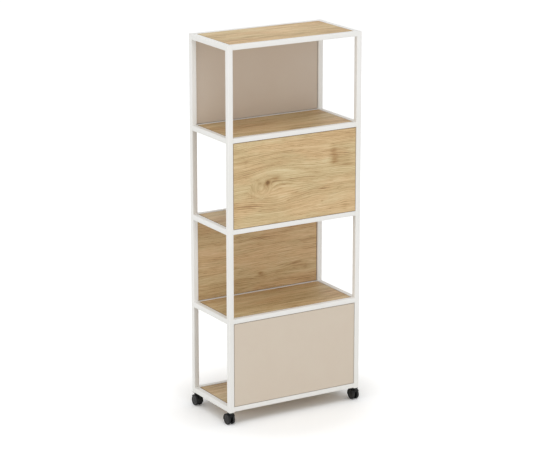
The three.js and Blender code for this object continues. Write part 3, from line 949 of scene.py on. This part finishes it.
def screw_head():
    """A pan head and its shank. The head hangs below the origin."""
    profile = [(0, -SCREW_HEAD_HEIGHT)]
    for sine, cosine in quarter_turn(SCREW_CROWN_STEPS)[1:]:
        radius = SCREW_HEAD_RADIUS * (SCREW_CROWN_SHARE + (1 - SCREW_CROWN_SHARE) * sine)
        height = SCREW_HEAD_HEIGHT * (SCREW_BRIM_SHARE + (1 - SCREW_BRIM_SHARE) * cosine)
        profile.append((radius, -height))
    profile += [
        (SCREW_HEAD_RADIUS, 0),
        (SCREW_SHANK_RADIUS, 0),
        (SCREW_SHANK_RADIUS, TAB_THICKNESS),
        (0, TAB_THICKNESS),
    ]
    bm = bmesh.new()
    lathe(bm, profile, SCREW_STEPS, lambda x, y, h: (x, y, h))
    return loose_object("shelf_screw_head", bm)


def screw_cross():
    """The two tapered arms that cut the cross recess."""
    reach = SCREW_CROSS_REACH
    half = SCREW_CROSS_WIDTH / 2
    depth = SCREW_CROSS_DEPTH
    arms = ((reach, half, depth), (half, reach, depth - SCREW_CROSS_STAGGER))
    bm = bmesh.new()
    for half_x, half_y, arm_depth in arms:
        outside = (-SCREW_HEAD_HEIGHT - SCREW_CUTTER_OUT, 1.0)
        bottom = (-SCREW_HEAD_HEIGHT + arm_depth, SCREW_CROSS_TAPER)
        rings = []
        for z, share in (outside, bottom):
            rings.append([(a * half_x * share, b * half_y * share, z) for a, b in CORNER_SIGNS])
        loft(bm, rings)
    return loose_object("shelf_screw_cross", bm)


def screw_mesh():
    """A pan-head screw with a cross recess."""
    head = screw_head()
    cross = screw_cross()
    cut = head.modifiers.new("recess", "BOOLEAN")
    cut.operation = "DIFFERENCE"
    cut.object = cross
    cut.use_self = True
    bpy.context.view_layer.update()
    shaped = head.evaluated_get(bpy.context.evaluated_depsgraph_get())
    mesh = bpy.data.meshes.new_from_object(shaped)
    for tool in (head, cross):
        bpy.data.objects.remove(tool)
    mesh.name = "shelf_screw"
    mesh.materials.clear()
    mesh.materials.append(STEEL)
    shade_smooth(mesh, SCREW_ANGLE)
    return mesh


def place_screws(places):
    mesh = screw_mesh()
    for i, place in enumerate(places):
        piece = bpy.data.objects.new(f"shelf_screw_{i + 1}", mesh)
        piece.location = place
        piece.rotation_euler.z = i * SCREW_TURN
        bpy.context.scene.collection.objects.link(piece)
        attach(piece, "root")


# Casters


def make_stem(caster, x, y):
    """The caster's turned stem, from its pivot up through the collar to the shank."""
    profile = [
        (0, PIVOT_BOTTOM),
        (PIVOT_RADIUS - STEM_CHAMFER, PIVOT_BOTTOM),
        (PIVOT_RADIUS, PIVOT_BOTTOM + STEM_CHAMFER),
        (PIVOT_RADIUS, COLLAR_BOTTOM),
        (COLLAR_RADIUS - COLLAR_EASE, COLLAR_BOTTOM),
        (COLLAR_RADIUS, COLLAR_BOTTOM + COLLAR_EASE),
        (COLLAR_RADIUS, FLANGE_BOTTOM),
        (SHANK_RADIUS, FLANGE_BOTTOM),
        (SHANK_RADIUS, SHANK_TOP - STEM_CHAMFER),
        (SHANK_RADIUS - STEM_CHAMFER, SHANK_TOP),
        (0, SHANK_TOP),
    ]
    bm = bmesh.new()
    lathe(bm, profile, TURNED_STEPS, lambda u, v, h: (x + u, y + v, h))
    piece = finish_mesh(f"{caster}_swivel_stem", bm, [STEEL], "root")
    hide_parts(f"{caster}_stem")


def about_axle(radius, angle):
    """Trail and height of a point round the axle."""
    return TRAIL + radius * math.cos(angle), WHEEL_RADIUS + radius * math.sin(angle)


def fender_rings(place):
    """Rounded sections swept over the wheels, drawn in at both ends."""
    turn = FENDER_FRONT - FENDER_BACK
    rounded = FENDER_THICKNESS / 2 / (FENDER_MIDDLE * turn)
    sections = []
    for i in range(FENDER_STEPS + 1):
        share = i / FENDER_STEPS
        if rounded <= share <= 1 - rounded:
            sections.append((share, 1.0))
    for sine, cosine in quarter_turn(FENDER_END_STEPS)[:-1]:
        size = FENDER_END_SHARE + (1 - FENDER_END_SHARE) * sine
        sections.append((rounded * (1 - cosine), size))
        sections.append((1 - rounded * (1 - cosine), size))
    rings = []
    for share, size in sorted(sections):
        angle = FENDER_BACK + share * turn
        thickness = FENDER_THICKNESS * size
        width = FENDER_WIDTH - FENDER_THICKNESS * (1 - size)
        edge = min(FENDER_EDGE, thickness * FENDER_EDGE_SHARE)
        ring = []
        for across, radial in rounded_section(width, thickness, edge, FENDER_EDGE_STEPS):
            ring.append(place(across, *about_axle(FENDER_MIDDLE + radial, angle)))
        rings.append(ring)
    return rings


def web_outline():
    """Side view of the web from the swivel axis back, as (trail, height)."""
    points = [(0.0, SOCKET_FOOT)]
    for i in range(WEB_BOSS_STEPS + 1):
        points.append(about_axle(HUB_BOSS, math.pi * (1 + i / WEB_BOSS_STEPS)))
    for i in range(WEB_ARC_STEPS + 1):
        points.append(about_axle(FENDER_MIDDLE, math.pi / 4 * (1 + i / WEB_ARC_STEPS)))
    top = SOCKET_TOP - WEB_DROP
    return [*points, (SOCKET_RADIUS, top), (0.0, top)]


def socket_profile():
    """The hood's turned socket: a narrow neck as wide as the web, a flare and an eased top."""
    neck = WEB_WIDTH / 2
    profile = [
        (0, SOCKET_FOOT),
        (neck - HOOD_EASE, SOCKET_FOOT),
        (neck, SOCKET_FOOT + HOOD_EASE),
        (neck, SOCKET_NECK),
    ]
    for sine, cosine in quarter_turn(FLARE_STEPS):
        radius = neck + (SOCKET_RADIUS - neck) * (1 - cosine)
        profile.append((radius, FLARE_FOOT + FLARE_HEIGHT * sine))
    profile += [
        (SOCKET_RADIUS, SOCKET_TOP - HOOD_EASE),
        (SOCKET_RADIUS - SOCKET_TOP_EASE, SOCKET_TOP - SOCKET_TOP_EASE),
        (SOCKET_RADIUS - HOOD_EASE, SOCKET_TOP),
        (0, SOCKET_TOP),
    ]
    return profile


def make_hood(caster, x, y, sign):
    """The caster's body: a socket for the stem, a web between the wheels and a fender over them."""

    def place(across, trail, height):
        return (x + sign * across, y + sign * trail, height)

    bm = bmesh.new()
    half = WEB_WIDTH / 2
    loft(bm, [[place(across, *point) for point in web_outline()] for across in (-half, half)])
    rims = [edge for edge in bm.edges if edge.calc_face_angle(0.0) > HOOD_RIM_ANGLE]
    bmesh.ops.bevel(
        bm, geom=rims, offset=HOOD_EASE, segments=HOOD_EASE_STEPS, affect="EDGES", clamp_overlap=True
    )
    loft(bm, fender_rings(place))
    lathe(bm, socket_profile(), TURNED_STEPS, lambda u, v, h: (x + u, y + v, h))
    piece = finish_mesh(f"{caster}_housing", bm, [NYLON], f"swivel_{caster.removeprefix('caster_')}")
    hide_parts(f"{caster}_hood")


def wheel_profile():
    """A wheel from its bore round its open inner side, tyre and dished outer face to the cap,
    and the material of each stretch: 0 for the body and 1 for the tyre."""
    floor = WHEEL_WIDTH - WHEEL_FACE
    inside = [
        (0, floor),
        (HUB_BORE, floor),
        (HUB_BORE, -HUB_STAND),
        (HUB_RADIUS, -HUB_STAND),
        (HUB_RADIUS, floor),
        (RIM_INSIDE, floor),
        (RIM_INSIDE, RIM_EASE_HEIGHT),
        (RIM_INSIDE + RIM_EASE_WIDTH, 0),
        (GROOVE_INSIDE, 0),
        (GROOVE_MIDDLE, GROOVE_DEPTH),
    ]
    tyre = [(TYRE_INSIDE, 0)]
    for sine, cosine in quarter_turn(TYRE_STEPS):
        radius = WHEEL_RADIUS - TYRE_SHOULDER * (1 - sine)
        tyre.append((radius, TYRE_SHOULDER * (1 - cosine)))
    for sine, cosine in quarter_turn(TYRE_STEPS):
        radius = WHEEL_RADIUS - TYRE_SHOULDER * (1 - cosine)
        tyre.append((radius, WHEEL_WIDTH - TYRE_SHOULDER * (1 - sine)))
    tyre.append((TYRE_INSIDE, WHEEL_WIDTH))
    face = [(radius, WHEEL_WIDTH - depth) for radius, depth in WHEEL_DISH]
    for sine, cosine in quarter_turn(CAP_STEPS)[1:-1]:
        face.append((CAP_RADIUS * cosine, WHEEL_WIDTH - CAP_RISE * (1 - sine)))
    face.append((0, WHEEL_WIDTH))
    materials = [0] * len(inside) + [1] * len(tyre) + [0] * len(face)
    return inside + tyre + face, materials


def add_spoke(bm, angle, place):
    """A spoke from the hub to the rim, behind the closed face."""
    cosine, sine = math.cos(angle), math.sin(angle)
    half = SPOKE_THICKNESS / 2
    low, high = SPOKE_RECESS, WHEEL_WIDTH - SPOKE_COVER
    rings = []
    for radius in (HUB_RADIUS - SPOKE_BITE, RIM_INSIDE + SPOKE_BITE):
        ring = []
        for aside, height in ((-half, low), (half, low), (half, high), (-half, high)):
            u = cosine * radius - sine * aside
            v = sine * radius + cosine * aside
            ring.append(place(u, v, height))
        rings.append(ring)
    loft(bm, rings)


def make_wheel(caster, side, swivel_x):
    node = f"{caster}_wheel_{side}"
    low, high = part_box(node)
    middle_y = (low.y + high.y) / 2
    outward = 1 if low.x + high.x > 2 * swivel_x else -1
    outer = high.x if outward > 0 else low.x
    inner = outer - outward * WHEEL_WIDTH

    def place(u, v, height):
        return (inner + outward * height, middle_y + u, WHEEL_RADIUS + v)

    profile, materials = wheel_profile()
    bm = bmesh.new()
    lathe(bm, profile, WHEEL_STEPS, place, materials)
    for i in range(WHEEL_SPOKES):
        add_spoke(bm, 2 * math.pi * i / WHEEL_SPOKES, place)
    body = f"wheel_{caster.removeprefix('caster_')}_{side}"
    piece = finish_mesh(f"{node}_disc", bm, [NYLON, TYRE], body, angle=WHEEL_ANGLE)
    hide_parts(node)


def make_caster(face, side):
    caster = f"caster_{face}_{side}"
    low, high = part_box(f"{caster}_plug")
    x = (low.x + high.x) / 2
    y = (low.y + high.y) / 2
    sign = 1 if face == "front" else -1
    make_stem(caster, x, y)
    make_hood(caster, x, y, sign)
    for wheel_side in SIDES:
        make_wheel(caster, wheel_side, x)


# Assembly


def dress(node, material):
    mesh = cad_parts[node].data
    mesh.materials.clear()
    mesh.materials.append(material)


for post_face in FACES:
    for post_side in SIDES:
        make_post(f"post_{post_face}_{post_side}")
        make_caster(post_face, post_side)
        dress(f"caster_{post_face}_{post_side}_plug", NYLON)
        dress(f"caster_{post_face}_{post_side}_axle", STEEL)
screw_places = []
for rail_level in LEVELS:
    for rail_face in FACES:
        make_cross_rail(f"rail_{rail_face}_{rail_level}")
    for rail_side in SIDES:
        screw_places += make_side_rail(f"rail_{rail_side}_{rail_level}")
make_welds()
place_screws(screw_places)
for panel, finish in PANEL_FINISHES.items():
    dress(panel, finish)
for shelf_level in LEVELS[:-1]:
    dress(f"shelf_{shelf_level}", SHELF_OAK)
dress("top_board", TOP_OAK)


# Studio

PURE_WHITE = (1.0, 1.0, 1.0, 1.0)
FLOOR_REACH = 60.0
FLOOR_COLOUR = (0.80, 0.80, 0.79, 1.0)
FLOOR_SEEN_COLOUR = (1.10, 1.105, 1.105, 1.0)
# The floor that is seen turns to plain white away from the case
GLOW_CENTRE = (-0.05, -0.08)
GLOW_STRETCH = (1.41, 1.62)
GLOW_START = 0.52
GLOW_SLOPE = 0.49
GLOW_MOST = 0.30
DOME_STRENGTH = 0.70
LIGHT_TARGET = Vector((0.0, 0.0, 0.9))
SOFTBOX_SIZE = 3.0
# Name, place and power of each softbox
SOFTBOXES = (
    ("front_softbox", (0.5, -6.0, 1.6), 51.0),
    ("left_softbox", (-6.0, -0.5, 1.6), 64.0),
    ("top_softbox", (-1.2, -2.4, 6.5), 71.0),
)


def floor_glow(graph):
    """A light of the floor's own that sets in at some distance round the case."""
    x, y, _ = graph.position()
    du = graph.times(graph.minus(x, GLOW_CENTRE[0]), GLOW_STRETCH[0])
    dv = graph.times(graph.minus(y, GLOW_CENTRE[1]), GLOW_STRETCH[1])
    away = graph.math("SQRT", graph.add(graph.times(du, du), graph.times(dv, dv)))
    outside = graph.math("MAXIMUM", graph.minus(away, GLOW_START), 0.0)
    glow = graph.node("Emission")
    glow.inputs["Color"].default_value = PURE_WHITE
    strength = graph.math("MINIMUM", graph.times(outside, GLOW_SLOPE), GLOW_MOST)
    graph.feed(glow.inputs["Strength"], strength)
    return glow.outputs[0]


def floor_material():
    """Plain pale floor for the light, and a white one with the object's shadow for the eye."""
    graph = Graph("floor_white")
    tree = graph.tree
    path = graph.node("LightPath")
    seen = graph.math("MAXIMUM", path.outputs["Is Camera Ray"], path.outputs["Is Glossy Ray"])
    seen = graph.math("MAXIMUM", seen, path.outputs["Is Transmission Ray"])
    plain = graph.node("BsdfDiffuse")
    plain.inputs["Color"].default_value = FLOOR_COLOUR
    bright = graph.node("BsdfDiffuse")
    bright.inputs["Color"].default_value = FLOOR_SEEN_COLOUR
    lit = graph.node("AddShader")
    tree.links.new(bright.outputs[0], lit.inputs[0])
    tree.links.new(floor_glow(graph), lit.inputs[1])
    choice = graph.node("MixShader")
    tree.links.new(seen, choice.inputs[0])
    tree.links.new(plain.outputs[0], choice.inputs[1])
    tree.links.new(lit.outputs[0], choice.inputs[2])
    tree.links.new(choice.outputs[0], tree.nodes["Material Output"].inputs["Surface"])
    tree.nodes.remove(graph.shader)
    return graph.material


def make_floor():
    mesh = bpy.data.meshes.new("studio_floor")
    corners = [(a * FLOOR_REACH, b * FLOOR_REACH, 0) for a, b in CORNER_SIGNS]
    mesh.from_pydata(corners, [], [(0, 1, 2, 3)])
    mesh.materials.append(floor_material())
    floor = bpy.data.objects.new("studio_floor", mesh)
    bpy.context.scene.collection.objects.link(floor)


def make_world():
    """A soft dome that lights the object, and plain white where the eye meets it."""
    world = bpy.data.worlds.new("studio")
    world.use_nodes = True
    tree = world.node_tree
    path = tree.nodes.new("ShaderNodeLightPath")
    seen = path.outputs["Is Camera Ray"]
    for name in ("Is Glossy Ray", "Is Transmission Ray"):
        either = tree.nodes.new("ShaderNodeMath")
        either.operation = "MAXIMUM"
        tree.links.new(seen, either.inputs[0])
        tree.links.new(path.outputs[name], either.inputs[1])
        seen = either.outputs[0]
    dome = tree.nodes["Background"]
    dome.inputs["Color"].default_value = PURE_WHITE
    dome.inputs["Strength"].default_value = DOME_STRENGTH
    white = tree.nodes.new("ShaderNodeBackground")
    white.inputs["Color"].default_value = PURE_WHITE
    choice = tree.nodes.new("ShaderNodeMixShader")
    tree.links.new(seen, choice.inputs[0])
    tree.links.new(dome.outputs[0], choice.inputs[1])
    tree.links.new(white.outputs[0], choice.inputs[2])
    tree.links.new(choice.outputs[0], tree.nodes["World Output"].inputs["Surface"])
    bpy.context.scene.world = world


def make_light(name, place, power):
    data = bpy.data.lights.new(name, "AREA")
    data.shape = "SQUARE"
    data.size = SOFTBOX_SIZE
    data.energy = power
    lamp = bpy.data.objects.new(name, data)
    lamp.location = place
    direction = LIGHT_TARGET - Vector(place)
    lamp.rotation_euler = direction.to_track_quat("-Z", "Y").to_euler()
    bpy.context.scene.collection.objects.link(lamp)


def make_camera():
    data = bpy.data.cameras.new("photo_camera")
    data.sensor_fit = "HORIZONTAL"
    data.sensor_width = SENSOR_WIDTH
    data.lens = FOCAL_PIXELS / PICTURE_WIDTH * SENSOR_WIDTH
    data.clip_end = CAMERA_CLIP_END
    camera = bpy.data.objects.new("photo_camera", data)
    camera.location = CAMERA_PLACE
    camera.rotation_euler = (math.pi / 2 - CAMERA_PITCH, 0.0, -CAMERA_TURN)
    bpy.context.scene.collection.objects.link(camera)
    bpy.context.scene.camera = camera


make_floor()
make_world()
for softbox in SOFTBOXES:
    make_light(*softbox)
make_camera()
bpy.context.scene.view_settings.view_transform = "Standard"
